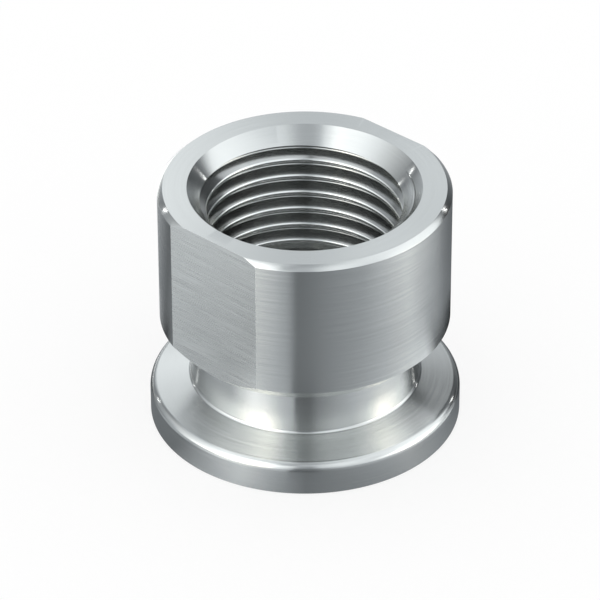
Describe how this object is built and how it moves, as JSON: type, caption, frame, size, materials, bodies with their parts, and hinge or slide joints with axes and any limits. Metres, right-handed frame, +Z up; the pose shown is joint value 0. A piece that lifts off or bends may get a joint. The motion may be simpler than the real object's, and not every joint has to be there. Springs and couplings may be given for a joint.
{
  "type": "threaded flange adapter",
  "caption": "Turned stainless adapter: a small vacuum clamp flange and neck below a round body with spanner flats and a tapered pipe thread in its mouth.",
  "frame": {"origin": "centre of the flange's sealing face, on the axis", "axes": "+Z up the axis from the sealing face to the threaded mouth; the two spanner flats face +Y and -Y"},
  "size_m": [0.03, 0.03, 0.025],
  "materials": {
    "stainless_steel": "bright turned stainless steel, with fine tool marks round the axis and brushed spanner flats"
  },
  "bodies": {
    "root": {"flange_adapter": "stainless_steel"}
  },
  "joints": []
}
